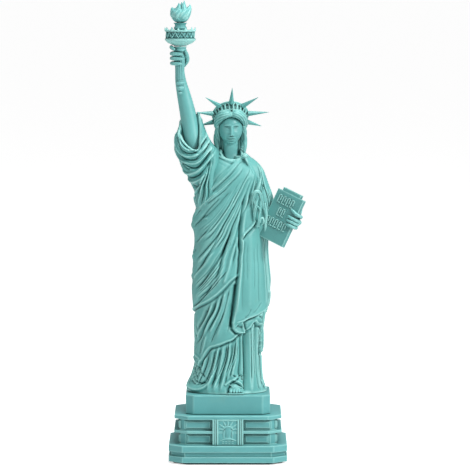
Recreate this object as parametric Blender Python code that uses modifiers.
"""Miniature landmark statue: a robed figure with a torch and a tablet on a stepped pedestal.

The statuette goes together the way a cast resin figure does on a bench. Separate castings (pedestal base,
pedestal block, robed figure, arms, head, diadem, rays, torch, tablet and plaque) meet at pinned and glued
joints, and a screw under a felt pad holds the figure to its pedestal.

Units are metres, +Z is up, -Y is the front, and the origin is the middle of the felt pad's underside.
"""

import math
from functools import partial

import bmesh
import bpy
from mathutils import Matrix, Vector

MM = 0.001
GAP = 0.3 * MM  # glue line between castings, and the clearance round every pin

# The figure's sculpted sizes are in units of 1/160 of its height from hem to neck joint.
FIGURE_HEIGHT = 160.0 * MM
UNIT = FIGURE_HEIGHT / 160.0

# Robed figure: height above the hem, middle x, middle y, half width, half depth.
FIGURE_SECTIONS = (
    (0.0, -0.2, 0.0, 26.4, 22.5),
    (5.0, -0.6, 0.0, 25.8, 22.0),
    (12.0, -0.9, 0.5, 23.6, 20.5),
    (23.0, 0.4, 0.5, 22.2, 19.3),
    (42.0, 1.2, 0.5, 23.8, 19.0),
    (56.0, 2.4, 0.3, 25.2, 19.6),
    (68.0, 2.0, 0.3, 25.6, 19.8),
    (84.0, 1.6, 0.5, 24.0, 19.0),
    (98.0, 1.2, 0.5, 23.0, 17.8),
    (112.0, 0.5, 0.5, 22.0, 16.8),
    (126.0, 0.5, 0.5, 20.5, 15.8),
    (138.0, 0.5, 0.5, 19.5, 14.6),
    (147.0, 1.5, 0.7, 17.5, 12.6),
    (154.0, 2.0, 1.0, 13.5, 9.8),
    (160.0, 1.8, 1.2, 8.0, 7.4),
)
FIGURE_SIDES = 56
FIGURE_LEVELS = 30
PLEAT_COUNT = 14
PLEAT_DEPTH = 1.1 * UNIT
SWEEP_COUNT = 9
SWEEP_DEPTH = 0.9 * UNIT
SWEEP_TURN = math.radians(420)  # how far a mantle fold travels round the body over the full height
TUNIC_SHARE = 0.3  # share of the height that the tunic's upright pleats take
PLEAT_BLEND_SHARE = 0.05
NECK_FADE_SHARE = 0.25
NECK_FOLD_SHARE = 0.1

# Pedestal. It is square, and each step is set out from the one above it.
FOOT_MARGIN = 1.6 * MM
BLOCK_CHAMFER = 5.0 * MM
BLOCK_HEIGHT = 12.6 * MM
BLOCK_EDGE = 0.9 * MM
SLAB_LEDGE = 7.5 * MM
SLAB_THICK = 3.0 * MM
SHELF_STEP = 0.2 * MM
SHELF_THICK = 2.0 * MM
BAY_SETBACK = 3.6 * MM
HIGH_BAY = 7.0 * MM
LOW_BAY = 7.4 * MM
BAND_STEP = 3.7 * MM
UPPER_BAND = 4.5 * MM
GROOVE = 2.9 * MM
GROOVE_DEPTH = 1.6 * MM
LOWER_BAND = 3.9 * MM
BASE_CHAMFER = 9.0 * MM
TIER_OVERLAP = 0.4 * MM
FELT_THICK = 1.0 * MM
FELT_INSET = 3.0 * MM

# Plaque on the pedestal's front.
PLAQUE_WIDTH = 20.4 * MM
PLAQUE_THICK = 4.6 * MM
PLAQUE_STEP = 1.0 * MM
PILASTER_WIDTH = 1.6 * MM
PILASTER_GROOVE = 1.0 * MM
PANEL_RECESS = 0.6 * MM

# Hardware.
SCREW_RADIUS = 2.5 * MM
SCREW_HEAD_RADIUS = 4.6 * MM
SCREW_HEAD_HEIGHT = 3.0 * MM
SCREW_BITE = 16.0 * MM
SLOT_WIDTH = 1.0 * MM
SLOT_DEPTH = 0.8 * MM
WASHER_RADIUS = 6.0 * MM
WASHER_THICK = 1.0 * MM
HEAD_RECESS = 0.8 * MM
DOWEL_RADIUS = 1.5 * MM
DOWEL_LENGTH = 10.0 * MM
DOWEL_INSET = 11.0 * MM
PIN_RADIUS = 0.8 * MM
PIN_BITE = 5.0 * MM

# Head, and a diadem that is a conical band leaning back from the front, open behind.
HEAD_CENTRE = Vector((1.8, -1.0, 176.4)) * UNIT
HEAD_RADII = Vector((8.4, 9.8, 11.6)) * UNIT
HEAD_TURN = math.radians(4)
HAIR_RADII = Vector((9.8, 9.4, 9.8)) * UNIT
HAIR_BACK = Vector((0.0, 2.4, 0.6)) * UNIT
NECK_RADIUS = 5.0 * UNIT
NECK_BOTTOM = 155.0 * UNIT
NECK_BACK = 1.5 * UNIT
DIADEM_CENTRE = Vector((1.8, -0.4, 181.7)) * UNIT
DIADEM_LEAN = math.radians(50)
DIADEM_LOW_RADIUS = 9.3 * UNIT
DIADEM_FLARE = 1.7 * UNIT
DIADEM_WALL = 1.2 * UNIT
DIADEM_BAND = 4.4 * UNIT
DIADEM_OPENING = math.radians(112)

# Rays: the ring angle of each foot from the front, then the ray's own heading and climb.
RAY_PAIRS = (
    (math.radians(40), math.radians(52), math.radians(26)),
    (math.radians(78), math.radians(78), math.radians(4)),
    (math.radians(114), math.radians(128), math.radians(-14)),
)
TOP_RAY_CLIMB = math.radians(48)
ARM_SIDE_RAYS = (0, 1)
RAY_REACH = 23.0 * UNIT
RAY_LENGTH = RAY_REACH - DIADEM_LOW_RADIUS
ARM_SIDE_SHORTENING = 2.1 * UNIT
RAY_HALF_WIDTH = 1.8 * UNIT
RAY_TIP = 0.15 * UNIT
RAY_STAND = 0.7 * UNIT
RAY_PEG_RADIUS = 0.6 * UNIT
RAY_PEG_LENGTH = 1.9 * UNIT

# Right arm: centre line and radii from the shoulder socket to the wrist, and the sleeve round it.
RIGHT_ARM_LINE = (
    ((-19.0, -1.0, 150.0), 4.6),
    ((-24.5, -1.5, 166.0), 5.0),
    ((-26.0, -1.5, 182.0), 5.8),
    ((-28.6, -1.3, 194.0), 5.2),
    ((-31.4, -1.0, 206.0), 3.6),
    ((-32.2, -2.0, 219.0), 3.1),
)
RIGHT_SLEEVE_LINE = (
    ((-8.0, 0.5, 128.0), 11.0),
    ((-13.5, 0.5, 142.0), 14.0),
    ((-21.5, -1.5, 155.0), 14.6),
    ((-24.2, -2.8, 169.0), 11.8),
    ((-23.8, -2.2, 182.0), 6.4),
)

# Torch. It stands on the grip, the middle of the fist.
GRIP = Vector((-31.5, -9.0, 221.1)) * UNIT
GRIP_FINGERS = 4
FINGER_RADIUS = 1.15 * UNIT
FINGER_PITCH = 2.45 * UNIT
PALM_RADII = Vector((4.6, 3.0, 6.4)) * UNIT
HANDLE_RADIUS = 3.3 * UNIT
# The handle's lower end: shares of its radius, and of its length under the fist, from the shaft to the finial.
HANDLE_MOULDINGS = ((0.85, 0.62), (1.0, 0.65), (1.0, 0.71), (0.7, 0.75), (0.72, 0.86), (0.4, 0.9), (0.5, 0.95))
BOWL_LIP_SHARE = 0.3
BOWL_FOOT_SHARE = 0.2
BOWL_FOOT_FLARE = 1.4
CUP_WAIST = 0.9
CUP_WAIST_DROP = 0.3
CUP_FOOT = 1.2
HANDLE_TAIL = 22.9 * UNIT
HANDLE_HEAD = 8.8 * UNIT
COLLAR_RADIUS = 4.2 * UNIT
COLLAR_HEIGHT = 3.6 * UNIT
GALLERY_RADIUS = 10.2 * UNIT
GALLERY_WALL = 1.3 * UNIT
GALLERY_BOWL = 4.4 * UNIT
PARAPET_HEIGHT = 6.5 * UNIT
CUP_RADIUS = 4.0 * UNIT
CUP_HEIGHT = 10.6 * UNIT
FLAME_RADIUS = 7.6 * UNIT
FLAME_HEIGHT = 14.5 * UNIT
FLAME_LEAN = 2.0 * UNIT
FLAME_LOBES = 5
FLAME_SIDES = 30
FLAME_LEVELS = 12

# Left arm, from the shoulder to the hand that holds the tablet.
LEFT_SLEEVE_LINE = (
    ((12.0, 0.5, 149.0), 7.6),
    ((19.0, 0.3, 140.0), 8.4),
    ((22.6, -1.0, 127.0), 8.2),
    ((22.8, -3.5, 112.0), 7.4),
)
LEFT_ARM_LINE = (
    ((22.0, -3.0, 113.0), 4.2),
    ((32.0, -8.0, 112.5), 4.1),
    ((41.5, -12.0, 114.0), 3.4),
)
TABLET_SIZE = Vector((20.5, 3.4, 34.0)) * UNIT
TAB_WIDTH = 14.5 * UNIT
TAB_HEIGHT = 2.4 * UNIT
TABLET_CENTRE = Vector((36.0, -17.0, 116.6)) * UNIT
TABLET_TURN = math.radians(20)
TABLET_LEAN = math.radians(25)
LEFT_FINGERS = 4
LEFT_FINGER_REACH = 6.5 * UNIT
LEFT_PALM_RADII = Vector((4.6, 2.3, 5.8)) * UNIT

# Widths and heights that follow from the sizes above.
BLOCK_WIDTH = 2 * (FIGURE_SECTIONS[0][3] * UNIT + FOOT_MARGIN)
SLAB_WIDTH = BLOCK_WIDTH + 2 * SLAB_LEDGE
SHELF_WIDTH = SLAB_WIDTH + 2 * SHELF_STEP
BAY_WIDTH = SLAB_WIDTH - 2 * BAY_SETBACK
BAND_WIDTH = SLAB_WIDTH + 2 * BAND_STEP
BASE_BOTTOM = FELT_THICK + GAP
GROOVE_Z = BASE_BOTTOM + LOWER_BAND
BAND_Z = GROOVE_Z + GROOVE
LEDGE_Z = BAND_Z + UPPER_BAND
SHELF_Z = LEDGE_Z + LOW_BAY
SLAB_Z = SHELF_Z + SHELF_THICK + HIGH_BAY
BASE_TOP = SLAB_Z + SLAB_THICK
BLOCK_BOTTOM = BASE_TOP + GAP
BLOCK_TOP = BLOCK_BOTTOM + BLOCK_HEIGHT
HEM_Z = BLOCK_TOP + GAP
HEAD_Z = BASE_BOTTOM + HEAD_RECESS + SCREW_HEAD_HEIGHT
WASHER_Z = HEAD_Z + GAP
SEAT_Z = WASHER_Z + WASHER_THICK + GAP
DOWEL_X = BLOCK_WIDTH / 2 - DOWEL_INSET
GALLERY_Z = HANDLE_HEAD + GAP
DECK_Z = GALLERY_Z + GALLERY_BOWL
CUP_Z = DECK_Z + GAP
FLAME_Z = CUP_Z + CUP_HEIGHT + GAP
RIGHT_WRIST = Vector(RIGHT_ARM_LINE[-1][0]) * UNIT
LEFT_WRIST = Vector(LEFT_ARM_LINE[-1][0]) * UNIT

RESIN = ("verdigris_resin", (0.20, 0.50, 0.47), 0.55, 0.0)
STEEL = ("zinc_steel", (0.62, 0.62, 0.60), 0.35, 1.0)
FELT = ("black_felt", (0.02, 0.03, 0.03), 0.95, 0.0)


# ---------------------------------------------------------------- scene helpers


def clear_scene():
    """Remove every object that is in the file."""
    for item in list(bpy.data.objects):
        bpy.data.objects.remove(item, do_unlink=True)


def make_collection(name):
    collection = bpy.data.collections.new(name)
    bpy.context.scene.collection.children.link(collection)
    return collection


def material(spec):
    """The Principled material of a finish, made once."""
    name, colour, roughness, metallic = spec
    found = bpy.data.materials.get(name)
    if found:
        return found
    made = bpy.data.materials.new(name)
    made.use_nodes = True
    shader = made.node_tree.nodes["Principled BSDF"]
    shader.inputs["Base Color"].default_value = (*colour, 1.0)
    shader.inputs["Roughness"].default_value = roughness
    shader.inputs["Metallic"].default_value = metallic
    made.diffuse_color = (*colour, 1.0)
    return made


def from_bmesh(name, shape):
    """A new object that holds the bmesh, with its faces pointing out."""
    bmesh.ops.recalc_face_normals(shape, faces=shape.faces)
    mesh = bpy.data.meshes.new(name)
    shape.to_mesh(mesh)
    shape.free()
    made = bpy.data.objects.new(name, mesh)
    bpy.context.scene.collection.objects.link(made)
    return made


def evaluated_mesh(item):
    bpy.context.view_layer.update()
    graph = bpy.context.evaluated_depsgraph_get()
    return bpy.data.meshes.new_from_object(item.evaluated_get(graph), depsgraph=graph)


def baked(item):
    """The object as a plain mesh in world space, with a curve's loose caps welded."""
    mesh = evaluated_mesh(item)
    mesh.transform(item.matrix_world)
    name = item.name
    bpy.data.objects.remove(item, do_unlink=True)
    shape = bmesh.new()
    shape.from_mesh(mesh)
    bmesh.ops.remove_doubles(shape, verts=shape.verts, dist=0.00001)
    return from_bmesh(name, shape)


def boolean(item, other, operation):
    """Join or cut item with other, which is used up."""
    modifier = item.modifiers.new("boolean", "BOOLEAN")
    modifier.operation = operation
    modifier.solver = "EXACT"
    modifier.object = other
    mesh = evaluated_mesh(item)
    item.modifiers.clear()
    item.data = mesh
    bpy.data.objects.remove(other, do_unlink=True)


def join(item, *others):
    for other in others:
        boolean(item, other, "UNION")
    return item


def cut(item, *cutters):
    for cutter in cutters:
        boolean(item, cutter, "DIFFERENCE")
    return item


def seat(item, *makers):
    """Cut item to take each maker's shape, with the glue gap all round it."""
    return cut(item, *(maker(GAP) for maker in makers))


# ---------------------------------------------------------------- basic shapes


def above_hem(point):
    """A point given from the middle of the figure's hem, in the part's frame."""
    return Vector(point) + Vector((0, 0, HEM_Z))


def box(name, low, high):
    shape = bmesh.new()
    bmesh.ops.create_cube(shape, size=1.0)
    bmesh.ops.scale(shape, vec=high - low, verts=shape.verts)
    bmesh.ops.translate(shape, vec=(high + low) / 2, verts=shape.verts)
    return from_bmesh(name, shape)


def slab(name, width, bottom, top, chamfer, edge=0.0):
    """A square slab with chamfered corners, and a softened rim round its top if edge is given."""
    shape = bmesh.new()
    bmesh.ops.create_cube(shape, size=1.0)
    bmesh.ops.scale(shape, vec=(width, width, top - bottom), verts=shape.verts)
    bmesh.ops.translate(shape, vec=(0, 0, (top + bottom) / 2), verts=shape.verts)
    corners = [e for e in shape.edges if abs(e.verts[0].co.z - e.verts[1].co.z) > GAP]
    bmesh.ops.bevel(shape, geom=corners, offset=chamfer, segments=1, affect="EDGES")
    if edge:
        rim = [e for e in shape.edges if all(v.co.z > top - GAP for v in e.verts)]
        bmesh.ops.bevel(shape, geom=rim, offset=edge, segments=2, affect="EDGES")
    return from_bmesh(name, shape)


def cone(name, start, end, radius, end_radius, sides):
    """A cone or cylinder between two points."""
    axis = end - start
    place = Matrix.Translation((start + end) / 2) @ axis.to_track_quat("Z", "Y").to_matrix().to_4x4()
    shape = bmesh.new()
    bmesh.ops.create_cone(
        shape,
        cap_ends=True,
        segments=sides,
        radius1=radius,
        radius2=end_radius,
        depth=axis.length,
        matrix=place,
    )
    return from_bmesh(name, shape)


def rod(name, start, end, radius, sides, grow=0.0):
    """A cylinder between two points, made larger all round by grow."""
    reach = (end - start).normalized() * grow
    return cone(name, start - reach, end + reach, radius + grow, radius + grow, sides)


def ball(name, centre, radii, columns=24, rows=14):
    place = Matrix.Translation(centre) @ Matrix.Diagonal((*radii, 1.0))
    shape = bmesh.new()
    bmesh.ops.create_uvsphere(shape, u_segments=columns, v_segments=rows, radius=1.0, matrix=place)
    return from_bmesh(name, shape)


def turned(name, profile, foot, steps):
    """A solid of revolution that stands on foot. Its profile runs from the axis at the top to the bottom."""
    mesh = bpy.data.meshes.new(name)
    edges = [(i, i + 1) for i in range(len(profile) - 1)]
    mesh.from_pydata([(radius, 0, height) for radius, height in profile], edges, [])
    made = bpy.data.objects.new(name, mesh)
    made.location = foot
    bpy.context.scene.collection.objects.link(made)
    screw = made.modifiers.new("turn", "SCREW")
    screw.steps = screw.render_steps = steps
    screw.use_merge_vertices = True
    screw.merge_threshold = 0.00001
    return baked(made)


def tube(name, line, sides, rings, grow=0.0):
    """A round tube along a smooth curve. The line holds points and radii."""
    places = [place.copy() for place, _ in line]
    places[0] += (places[0] - places[1]).normalized() * grow
    places[-1] += (places[-1] - places[-2]).normalized() * grow
    curve = bpy.data.curves.new(name, "CURVE")
    curve.dimensions = "3D"
    curve.bevel_depth = 1.0
    curve.bevel_resolution = sides
    curve.resolution_u = rings
    curve.use_fill_caps = True
    spline = curve.splines.new("NURBS")
    spline.points.add(len(line) - 1)
    for point, place, (_, radius) in zip(spline.points, places, line):
        point.co = (*place, 1.0)
        point.radius = radius + grow
    spline.use_endpoint_u = True
    spline.order_u = min(4, len(line))
    made = bpy.data.objects.new(name, curve)
    bpy.context.scene.collection.objects.link(made)
    return baked(made)


def limb(name, line, sides, rings, grow=0.0):
    """A tube whose line holds points above the hem and radii, in units."""
    places = [(above_hem(Vector(place) * UNIT), radius * UNIT) for place, radius in line]
    return tube(name, places, sides, rings, grow)


def loft(name, rings):
    """A closed skin over rings that hold the same number of points."""
    shape = bmesh.new()
    loops = [[shape.verts.new(point) for point in ring] for ring in rings]
    count = len(rings[0])
    for lower, upper in zip(loops, loops[1:]):
        for i in range(count):
            j = (i + 1) % count
            shape.faces.new((lower[i], lower[j], upper[j], upper[i]))
    shape.faces.new(reversed(loops[0]))
    shape.faces.new(loops[-1])
    return from_bmesh(name, shape)


def moved(item, matrix):
    item.data.transform(matrix)
    item.data.update()
    return item


# ---------------------------------------------------------------- pedestal


def felt_shape():
    return slab("felt_pad", BAND_WIDTH - 2 * FELT_INSET, 0.0, FELT_THICK, BASE_CHAMFER)


def base_shape():
    """The stepped base: two bands with a groove between, then two set-back bays round a shelf, then a slab."""
    over = TIER_OVERLAP
    tiers = (
        (BAND_WIDTH - 2 * GROOVE_DEPTH, GROOVE_Z - over, BAND_Z + over),
        (BAND_WIDTH, BAND_Z, LEDGE_Z),
        (BAY_WIDTH, LEDGE_Z - over, SLAB_Z + over),
        (SHELF_WIDTH, SHELF_Z, SHELF_Z + SHELF_THICK),
        (SLAB_WIDTH, SLAB_Z, BASE_TOP),
    )
    base = slab("base_casting", BAND_WIDTH, BASE_BOTTOM, GROOVE_Z, BASE_CHAMFER)
    for index, (width, bottom, top) in enumerate(tiers):
        join(base, slab(f"tier_{index}", width, bottom, top, BASE_CHAMFER))
    return base


def plaque_shape(grow=0.0):
    """The front plaque, without its grooves, standing between the two ledges."""
    front = -(SLAB_WIDTH / 2 + PLAQUE_STEP)
    edge = Vector((grow, grow, grow))
    low = Vector((-PLAQUE_WIDTH / 2, front, LEDGE_Z + GAP))
    high = Vector((PLAQUE_WIDTH / 2, front + PLAQUE_THICK, SLAB_Z - GAP))
    return box("front_plaque", low - edge, high + edge)


def build_plaque():
    """The plaque with two pilasters at each side, and a sunk panel between them."""
    plaque = plaque_shape()
    front = -(SLAB_WIDTH / 2 + PLAQUE_STEP)
    half = PLAQUE_WIDTH / 2
    panel_half = half - 2 * (PILASTER_WIDTH + PILASTER_GROOVE)
    low = Vector((-panel_half, front - MM, LEDGE_Z + PILASTER_WIDTH))
    high = Vector((panel_half, front + PANEL_RECESS, SLAB_Z - PILASTER_WIDTH))
    cut(plaque, box("panel_cutter", low, high))
    for side in (-1, 1):
        middle = side * (half - PILASTER_WIDTH - PILASTER_GROOVE / 2)
        low = Vector((middle - PILASTER_GROOVE / 2, front - MM, LEDGE_Z))
        high = Vector((middle + PILASTER_GROOVE / 2, front + PANEL_RECESS, SLAB_Z))
        cut(plaque, box("groove_cutter", low, high))
    return plaque


def block_shape():
    return slab("pedestal_block", BLOCK_WIDTH, BLOCK_BOTTOM, BLOCK_TOP, BLOCK_CHAMFER, BLOCK_EDGE)


def screw_shape(grow=0.0):
    """The shank of the screw that runs up into the figure."""
    return rod("fixing_screw", Vector((0, 0, HEAD_Z)), Vector((0, 0, HEM_Z + SCREW_BITE)), SCREW_RADIUS, 24, grow)


def build_screw():
    """The screw: its shank, a round head and a driver slot."""
    screw = screw_shape()
    low = HEAD_Z - SCREW_HEAD_HEIGHT
    profile = (
        (0, HEAD_Z + GAP / 2),
        (SCREW_HEAD_RADIUS, HEAD_Z + GAP / 2),
        (SCREW_HEAD_RADIUS, low + SCREW_HEAD_HEIGHT / 2),
        (SCREW_HEAD_RADIUS - SCREW_HEAD_HEIGHT / 2, low),
        (0, low),
    )
    join(screw, turned("screw_head", profile, Vector((0, 0, 0)), 28))
    half = Vector((SCREW_HEAD_RADIUS + MM, SLOT_WIDTH / 2, SLOT_DEPTH))
    middle = Vector((0, 0, low))
    return cut(screw, box("slot_cutter", middle - half, middle + half))


def build_washer():
    low, high = Vector((0, 0, WASHER_Z + GAP / 2)), Vector((0, 0, WASHER_Z + WASHER_THICK))
    return seat(rod("screw_washer", low, high, WASHER_RADIUS, 28), screw_shape)


def dowel_shape(side, name, grow=0.0):
    """One of the dowels that stop the block from turning on the base."""
    middle = Vector((side * DOWEL_X, 0, BASE_TOP + GAP / 2))
    half = Vector((0, 0, DOWEL_LENGTH / 2))
    return rod(name, middle - half, middle + half, DOWEL_RADIUS, 14, grow)


def counterbore_shape():
    below = Vector((0, 0, BASE_BOTTOM - MM))
    return rod("counterbore", below, Vector((0, 0, SEAT_Z)), WASHER_RADIUS + GAP, 28)


# ---------------------------------------------------------------- robed figure


def section_at(height):
    """The figure's middle and half sizes, in units, at a height in units above its hem."""
    for low, high in zip(FIGURE_SECTIONS, FIGURE_SECTIONS[1:]):
        if height <= high[0]:
            share = (height - low[0]) / (high[0] - low[0])
            return [a + (b - a) * share for a, b in zip(low[1:], high[1:])]
    return FIGURE_SECTIONS[-1][1:]


def fold_depth(angle, share):
    """Upright pleats in the tunic's skirt, and above them mantle folds that sweep round the body."""
    pleat = math.cos(PLEAT_COUNT * angle) * PLEAT_DEPTH
    sweep = math.cos(SWEEP_COUNT * angle + SWEEP_TURN * share) * SWEEP_DEPTH
    blend = min(max((share - TUNIC_SHARE) / PLEAT_BLEND_SHARE + 0.5, 0.0), 1.0)
    fade = min(1.0, (1 - share) / NECK_FADE_SHARE + NECK_FOLD_SHARE)
    return (pleat * (1 - blend) + sweep * blend) * fade


def robe_body():
    """Skirts, mantle and shoulders as one lofted body."""
    rings = []
    for level in range(FIGURE_LEVELS + 1):
        share = level / FIGURE_LEVELS
        mid_x, mid_y, half_w, half_d = section_at(share * FIGURE_SECTIONS[-1][0])
        ring = []
        for i in range(FIGURE_SIDES):
            angle = 2 * math.pi * i / FIGURE_SIDES
            out = fold_depth(angle, share)
            x = mid_x * UNIT + (half_w * UNIT + out) * math.cos(angle)
            y = mid_y * UNIT + (half_d * UNIT + out) * math.sin(angle)
            ring.append(above_hem((x, y, share * FIGURE_HEIGHT)))
        rings.append(ring)
    return loft("robed_figure", rings)


def build_figure():
    """The main casting: the robe's body with both sleeves."""
    right_sleeve = limb("right_sleeve", RIGHT_SLEEVE_LINE, sides=6, rings=4)
    left_sleeve = limb("left_sleeve", LEFT_SLEEVE_LINE, sides=5, rings=4)
    return join(robe_body(), right_sleeve, left_sleeve)


# ---------------------------------------------------------------- head and crown


def neck_foot():
    return above_hem((HEAD_CENTRE.x, HEAD_CENTRE.y + NECK_BACK, NECK_BOTTOM))


def neck_shape(grow=0.0):
    return rod("head", neck_foot(), above_hem(HEAD_CENTRE), NECK_RADIUS, 24, grow)


def build_head():
    """The head on its neck, with a mass of hair behind."""
    centre = above_hem(HEAD_CENTRE)
    return join(neck_shape(), ball("skull", centre, HEAD_RADII), ball("hair", centre + HAIR_BACK, HAIR_RADII))


def neck_pin_shape(grow=0.0):
    middle, bite = neck_foot(), Vector((0, 0, PIN_BITE))
    return rod("neck_pin", middle - bite, middle + bite, PIN_RADIUS, 12, grow)


def diadem_frame():
    """From the diadem's own frame, with its front at -Y and its wide rim up, to the part's frame."""
    place = Matrix.Translation(above_hem(DIADEM_CENTRE))
    return place @ Matrix.Rotation(HEAD_TURN, 4, "Z") @ Matrix.Rotation(-DIADEM_LEAN, 4, "X")


def diadem_shape(grow=0.0):
    """The conical band, without its opening."""
    low, high = Vector((0, 0, -grow)), Vector((0, 0, DIADEM_BAND + grow))
    outer = DIADEM_LOW_RADIUS + DIADEM_WALL + grow
    inner = DIADEM_LOW_RADIUS - grow
    band = cone("crown_diadem", low, high, outer, outer + DIADEM_FLARE, 40)
    slope = DIADEM_FLARE * MM / DIADEM_BAND
    over = Vector((0, 0, MM))
    bore = cone("bore", low - over, high + over, inner - slope, inner + DIADEM_FLARE + slope, 40)
    return moved(cut(band, bore), diadem_frame())


def build_diadem():
    """The diadem: the band with the back of it cut away."""
    reach = 2 * DIADEM_BAND
    wedge = 3 * DIADEM_LOW_RADIUS
    points = [Vector((0, 0, 0))]
    for side in (1, 0, -1):
        angle = math.pi / 2 + side * DIADEM_OPENING / 2
        points.append(Vector((math.cos(angle), math.sin(angle), 0)) * wedge)
    over = Vector((0, 0, reach))
    opening = loft("opening", [[p - over for p in points], [p + over for p in points]])
    return cut(diadem_shape(), moved(opening, diadem_frame()))


def ray_headings():
    """For each ray, from one side of the head round to the other: foot angle, heading and climb."""
    mirrored = [(-foot, -heading, climb) for foot, heading, climb in reversed(RAY_PAIRS)]
    return [*mirrored, (0.0, 0.0, TOP_RAY_CLIMB), *RAY_PAIRS]


def ray_shape(index, grow=0.0):
    """One four-sided ray with a round peg at its foot. Those beside the raised arm are shorter."""
    foot_angle, heading, climb = ray_headings()[index]
    out = Vector((math.sin(foot_angle), -math.cos(foot_angle), 0))
    stand = DIADEM_LOW_RADIUS + DIADEM_WALL + DIADEM_FLARE / 2 + RAY_STAND
    foot = diadem_frame() @ (out * stand + Vector((0, 0, DIADEM_BAND / 2)))
    level = Vector((math.sin(heading), -math.cos(heading), 0)) * math.cos(climb)
    aim = Matrix.Rotation(HEAD_TURN, 3, "Z") @ (level + Vector((0, 0, math.sin(climb))))
    length = RAY_LENGTH - (ARM_SIDE_SHORTENING if index in ARM_SIDE_RAYS else 0)
    ray = cone(f"crown_ray_{index + 1}", foot - aim * grow, foot + aim * length, RAY_HALF_WIDTH + grow, RAY_TIP, 4)
    return join(ray, rod("peg", foot - aim * RAY_PEG_LENGTH, foot + aim * MM, RAY_PEG_RADIUS, 10, grow))


# ---------------------------------------------------------------- right arm and torch


def right_arm_shape(grow=0.0):
    return limb("right_arm", RIGHT_ARM_LINE, 4, 5, grow)


def build_right_arm():
    """The raised arm with its fist: a palm behind the torch's handle, and fingers that ring it."""
    palm_centre = GRIP + Vector((0, HANDLE_RADIUS + PALM_RADII.y / 2, 0))
    arm = join(right_arm_shape(), ball("palm", above_hem(palm_centre), PALM_RADII, 16, 10))
    for index in range(GRIP_FINGERS):
        height = (index - (GRIP_FINGERS - 1) / 2) * FINGER_PITCH
        bpy.ops.mesh.primitive_torus_add(
            major_radius=HANDLE_RADIUS + FINGER_RADIUS / 2,
            minor_radius=FINGER_RADIUS,
            major_segments=18,
            minor_segments=8,
            location=above_hem(GRIP + Vector((0, 0, height))),
        )
        join(arm, baked(bpy.context.object))
    return arm


def arm_pin_shape(grow=0.0):
    """The pin along the arm, through the joint in the sleeve."""
    shoulder, elbow = (above_hem(Vector(place) * UNIT) for place, _ in RIGHT_ARM_LINE[:2])
    along = (elbow - shoulder).normalized() * PIN_BITE
    return rod("arm_pin", shoulder - along, shoulder + along, PIN_RADIUS, 12, grow)


def handle_shape(grow=0.0):
    """The handle: a collar above the fist, a tapered shaft through it, a ring and a finial."""
    shaft = HANDLE_RADIUS + grow
    profile = (
        (0, HANDLE_HEAD + grow),
        (COLLAR_RADIUS + grow, HANDLE_HEAD + grow),
        (COLLAR_RADIUS + grow, HANDLE_HEAD - COLLAR_HEIGHT - grow),
        (shaft, HANDLE_HEAD - COLLAR_HEIGHT - grow),
        *((shaft * width, -HANDLE_TAIL * down) for width, down in HANDLE_MOULDINGS),
        (0, -HANDLE_TAIL - grow),
    )
    return turned("torch_handle", profile, above_hem(GRIP), 20)


def gallery_shape():
    """The bowl under the flame, and the parapet that stands round its deck."""
    inner = GALLERY_RADIUS - GALLERY_WALL
    top = DECK_Z + PARAPET_HEIGHT
    profile = (
        (0, DECK_Z),
        (inner, DECK_Z),
        (inner, top),
        (GALLERY_RADIUS, top),
        (GALLERY_RADIUS, DECK_Z - GALLERY_BOWL * BOWL_LIP_SHARE),
        (COLLAR_RADIUS * BOWL_FOOT_FLARE, GALLERY_Z + GALLERY_BOWL * BOWL_FOOT_SHARE),
        (COLLAR_RADIUS, GALLERY_Z),
        (0, GALLERY_Z),
    )
    return turned("torch_gallery", profile, above_hem(GRIP), 36)


def cup_shape():
    top = CUP_Z + CUP_HEIGHT
    profile = (
        (0, top),
        (CUP_RADIUS, top),
        (CUP_RADIUS * CUP_WAIST, top - CUP_HEIGHT * CUP_WAIST_DROP),
        (CUP_RADIUS * CUP_FOOT, CUP_Z),
        (0, CUP_Z),
    )
    return turned("torch_cup", profile, above_hem(GRIP), 24)


def flame_shape():
    """A flame that swells, then twists up to a point that leans to one side."""
    foot = above_hem(GRIP) + Vector((0, 0, FLAME_Z))
    rings = []
    for level in range(FLAME_LEVELS):
        share = level / (FLAME_LEVELS - 1)
        swell = math.sin(math.pi * (0.22 + 0.76 * share)) ** 0.8
        ring = []
        for i in range(FLAME_SIDES):
            angle = 2 * math.pi * i / FLAME_SIDES
            lobe = 1 + 0.1 * math.cos(FLAME_LOBES * angle + 2 * share) * math.sin(math.pi * share)
            out = FLAME_RADIUS * swell * lobe / 1.1
            x = out * math.cos(angle) + FLAME_LEAN * share**2
            ring.append(foot + Vector((x, out * math.sin(angle), FLAME_HEIGHT * share)))
        rings.append(ring)
    return loft("torch_flame", rings)


def torch_pin_shape(grow=0.0):
    """The pin that lines up handle, gallery, cup and flame."""
    low = above_hem(GRIP) + Vector((0, 0, GALLERY_Z - PIN_BITE))
    high = above_hem(GRIP) + Vector((0, 0, FLAME_Z + PIN_BITE))
    return rod("torch_pin", low, high, PIN_RADIUS, 12, grow)


# ---------------------------------------------------------------- tablet and left arm


def tablet_frame():
    place = Matrix.Translation(above_hem(TABLET_CENTRE))
    return place @ Matrix.Rotation(TABLET_LEAN, 4, "Y") @ Matrix.Rotation(-TABLET_TURN, 4, "Z")


def tablet_shape(grow=0.0):
    """The tablet: a slab with a narrower tab along its top edge."""
    half = TABLET_SIZE / 2
    edge = Vector((grow, grow, grow))
    tab_low = Vector((-TAB_WIDTH / 2, -half.y, half.z - MM))
    tab_high = Vector((TAB_WIDTH / 2, half.y, half.z + TAB_HEIGHT))
    tablet = box("tablet", -half - edge, half + edge)
    join(tablet, box("tab", tab_low - edge, tab_high + edge))
    return moved(tablet, tablet_frame())


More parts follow.
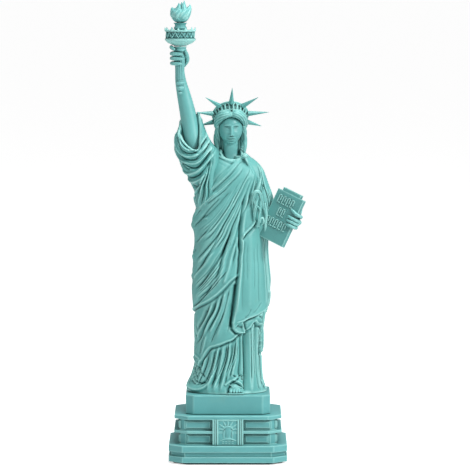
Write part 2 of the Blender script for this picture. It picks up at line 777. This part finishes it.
def tablet_grip():
    """Where the palm meets the tablet's back, in the tablet's frame."""
    wrist = tablet_frame().inverted() @ above_hem(LEFT_WRIST)
    return Vector((TABLET_SIZE.x / 2 - LEFT_PALM_RADII.x / 2, TABLET_SIZE.y / 2, wrist.z))


def left_arm_shape(grow=0.0):
    return limb("left_arm", LEFT_ARM_LINE, 4, 4, grow)


def build_left_arm():
    """The left forearm, and the hand whose fingers reach round the tablet's edge."""
    frame = tablet_frame()
    grip = tablet_grip()
    behind = grip.y + LEFT_PALM_RADII.y
    edge = TABLET_SIZE.x / 2
    front = -TABLET_SIZE.y / 2 - FINGER_RADIUS
    bend = edge + 3 * FINGER_RADIUS
    hand = ball("hand", Vector((grip.x, behind, grip.z)), LEFT_PALM_RADII, 16, 10)
    for index in range(LEFT_FINGERS):
        height = grip.z + (index - (LEFT_FINGERS - 1) / 2) * FINGER_PITCH
        tip = edge - LEFT_FINGER_REACH
        corners = ((edge - FINGER_RADIUS, behind), (bend, behind), (bend, front - 2 * FINGER_RADIUS), (tip, front))
        line = [(Vector((x, y, height)), FINGER_RADIUS) for x, y in corners]
        join(hand, tube("finger", line, 2, 5))
    return join(left_arm_shape(), moved(hand, frame))


def tablet_pin_shape(grow=0.0):
    """The pin between the palm and the tablet's back."""
    grip = tablet_grip()
    in_tablet = Vector((grip.x, grip.y - TABLET_SIZE.y / 2, grip.z))
    in_palm = Vector((grip.x, grip.y + LEFT_PALM_RADII.y, grip.z))
    frame = tablet_frame()
    return rod("tablet_pin", frame @ in_tablet, frame @ in_palm, PIN_RADIUS, 12, grow)


# ---------------------------------------------------------------- assembly


def finish(collection, finish_spec, *items):
    """Put finished pieces in the object's collection, with their material and shading."""
    for item in items:
        for owner in list(item.users_collection):
            owner.objects.unlink(item)
        collection.objects.link(item)
        item.data.materials.clear()
        item.data.materials.append(material(finish_spec))
        item.data.shade_smooth()
        item.data.set_sharp_from_angle(angle=math.radians(35))


def build_pedestal(collection):
    """The felt, base, plaque, block, and the hardware that holds them together."""
    dowels = [partial(dowel_shape, -1, "block_dowel_left"), partial(dowel_shape, 1, "block_dowel_right")]
    base = cut(base_shape(), counterbore_shape())
    seat(base, plaque_shape, screw_shape, *dowels)
    block = seat(block_shape(), screw_shape, *dowels)
    finish(collection, FELT, felt_shape())
    finish(collection, RESIN, base, build_plaque(), block)
    finish(collection, STEEL, build_screw(), build_washer(), *(maker() for maker in dowels))


def build_statue(collection):
    """The figure, head, crown and arms, each cut to take what plugs into it."""
    figure = seat(build_figure(), screw_shape, neck_shape, right_arm_shape, left_arm_shape, tablet_shape)
    seat(figure, neck_pin_shape, arm_pin_shape)
    rays = [partial(ray_shape, index) for index in range(2 * len(RAY_PAIRS) + 1)]
    head = seat(build_head(), diadem_shape, *rays, neck_pin_shape)
    diadem = seat(build_diadem(), *rays)
    right_arm = seat(build_right_arm(), handle_shape, arm_pin_shape)
    left_arm = seat(build_left_arm(), tablet_shape, tablet_pin_shape)
    tablet = seat(tablet_shape(), tablet_pin_shape)
    finish(collection, RESIN, figure, head, diadem, *(maker() for maker in rays))
    finish(collection, RESIN, right_arm, left_arm, tablet)
    finish(collection, STEEL, neck_pin_shape(), arm_pin_shape(), tablet_pin_shape())


def build_torch(collection):
    """Handle, gallery, cup and flame, threaded on one pin."""
    for made in (handle_shape(), gallery_shape(), cup_shape(), flame_shape()):
        finish(collection, RESIN, seat(made, torch_pin_shape))
    finish(collection, STEEL, torch_pin_shape())


def main():
    clear_scene()
    collection = make_collection("landmark_statue")
    build_pedestal(collection)
    build_statue(collection)
    build_torch(collection)


main()
